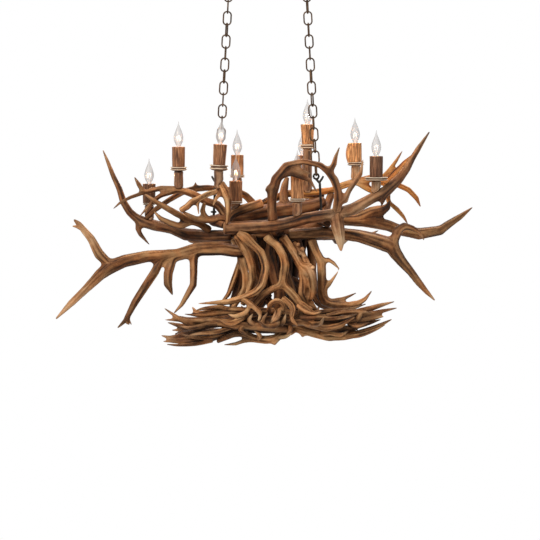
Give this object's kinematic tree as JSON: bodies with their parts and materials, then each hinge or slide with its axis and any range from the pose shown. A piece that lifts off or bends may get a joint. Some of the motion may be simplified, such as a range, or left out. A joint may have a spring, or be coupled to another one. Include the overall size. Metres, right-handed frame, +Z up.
{
  "type": "antler chandelier",
  "caption": "Oblong antler chandelier hung by two chains from a ceiling canopy, with candle lamps on a ring of interlocked antlers over an antler trunk and basket.",
  "frame": {"origin": "middle of the canopy's flat ceiling face", "axes": "+Z up to the ceiling, +X to the right in the picture, along the oblong canopy, +Y away from the camera"},
  "size_m": [1.3746, 0.5912, 1.2456],
  "materials": {
    "antler": "satin",
    "bulb_glass": "clear",
    "antique_bronze": "satin",
    "black_steel": "satin",
    "candle_cover": "matte",
    "socket_plastic": "matte"
  },
  "bodies": {
    "canopy": {"ceiling_canopy": "antique_bronze", "canopy_hardware": "antique_bronze"},
    "top_link_left": {"chain_top_link_left": "antique_bronze"},
    "top_link_right": {"chain_top_link_right": "antique_bronze"},
    "chain_left": {"chain_left": "antique_bronze"},
    "chain_right": {"chain_right": "antique_bronze"},
    "fixture": {"hanger_rods": "black_steel", "candle_sleeves": "candle_cover", "candle_saucers": "antler", "candle_stems": "antler", "candle_sockets": "socket_plastic", "arch_antler": "antler", "back_arch_antler": "antler", "back_beam_antler": "antler", "back_left_antler": "antler", "back_right_antler": "antler", "back_rim_antler": "antler", "basket_antler_1": "antler", "basket_antler_10": "antler", "basket_antler_2": "antler", "basket_antler_3": "antler", "basket_antler_4": "antler", "basket_antler_5": "antler", "basket_antler_6": "antler", "basket_antler_7": "antler", "basket_antler_8": "antler", "basket_antler_9": "antler", "centre_bearer_antler": "antler", "front_beam_antler": "antler", "inner_front_antler": "antler", "left_bearer_antler": "antler", "left_cross_antler": "antler", "left_fork_antler": "antler", "left_high_antler": "antler", "left_low_antler": "antler", "left_rim_antler": "antler", "left_small_antler": "antler", "left_top_antler": "antler", "right_bearer_antler": "antler", "right_long_antler": "antler", "right_low_antler": "antler", "trunk_antler_1": "antler", "trunk_antler_2": "antler", "trunk_antler_3": "antler", "trunk_antler_4": "antler", "trunk_antler_5": "antler", "trunk_antler_6": "antler", "trunk_antler_7": "antler", "trunk_antler_8": "antler", "trunk_back_antlers": "antler"},
    "bulb_1": {"bulb_1": "bulb_glass"},
    "bulb_2": {"bulb_2": "bulb_glass"},
    "bulb_3": {"bulb_3": "bulb_glass"},
    "bulb_4": {"bulb_4": "bulb_glass"},
    "bulb_5": {"bulb_5": "bulb_glass"},
    "bulb_6": {"bulb_6": "bulb_glass"},
    "bulb_7": {"bulb_7": "bulb_glass"},
    "bulb_8": {"bulb_8": "bulb_glass"},
    "bulb_9": {"bulb_9": "bulb_glass"},
    "bulb_10": {"bulb_10": "bulb_glass"}
  },
  "joints": [
    {"name": "swing_left", "type": "hinge", "parent": "canopy", "child": "top_link_left", "pos_m": [-0.125, 0, -0.046], "axis": [1, 0, 0], "range_deg": [-12, 12]},
    {"name": "swing_right", "type": "hinge", "parent": "canopy", "child": "top_link_right", "pos_m": [0.125, 0, -0.046], "axis": [1, 0, 0], "range_deg": [-12, 12]},
    {"name": "sway_left", "type": "hinge", "parent": "top_link_left", "child": "chain_left", "pos_m": [-0.12732, 0, -0.08294], "axis": [0, 1, 0], "range_deg": [-6, 6]},
    {"name": "sway_right", "type": "hinge", "parent": "top_link_right", "child": "chain_right", "pos_m": [0.12732, 0, -0.08294], "axis": [0, 1, 0], "range_deg": [-6, 6]},
    {"name": "eye_left", "type": "hinge", "parent": "chain_left", "child": "fixture", "pos_m": [-0.16, 0, -0.69166], "axis": [0, 1, 0], "range_deg": [-4.8, 4.8]},
    {"name": "lamp_1", "type": "slide", "parent": "fixture", "child": "bulb_1", "axis": [0, 0, 1], "range_m": [0, 0.03]},
    {"name": "lamp_2", "type": "slide", "parent": "fixture", "child": "bulb_2", "axis": [0, 0, 1], "range_m": [0, 0.03]},
    {"name": "lamp_3", "type": "slide", "parent": "fixture", "child": "bulb_3", "axis": [0.0599, 0, 0.9982], "range_m": [0, 0.03]},
    {"name": "lamp_4", "type": "slide", "parent": "fixture", "child": "bulb_4", "axis": [0, 0, 1], "range_m": [0, 0.03]},
    {"name": "lamp_5", "type": "slide", "parent": "fixture", "child": "bulb_5", "axis": [0, 0, 1], "range_m": [0, 0.03]},
    {"name": "lamp_6", "type": "slide", "parent": "fixture", "child": "bulb_6", "axis": [0, 0, 1], "range_m": [0, 0.03]},
    {"name": "lamp_7", "type": "slide", "parent": "fixture", "child": "bulb_7", "axis": [0, 0, 1], "range_m": [0, 0.03]},
    {"name": "lamp_8", "type": "slide", "parent": "fixture", "child": "bulb_8", "axis": [0, 0, 1], "range_m": [0, 0.03]},
    {"name": "lamp_9", "type": "slide", "parent": "fixture", "child": "bulb_9", "axis": [-0.02, 0, 0.9998], "range_m": [0, 0.03]},
    {"name": "lamp_10", "type": "slide", "parent": "fixture", "child": "bulb_10", "axis": [0, 0, 1], "range_m": [0, 0.03]}
  ],
  "couplings": [
    {"joint": "swing_right", "follows": "swing_left", "ratio": 1},
    {"joint": "sway_right", "follows": "sway_left", "ratio": 1},
    {"joint": "eye_left", "follows": "sway_left", "ratio": -0.79576}
  ]
}
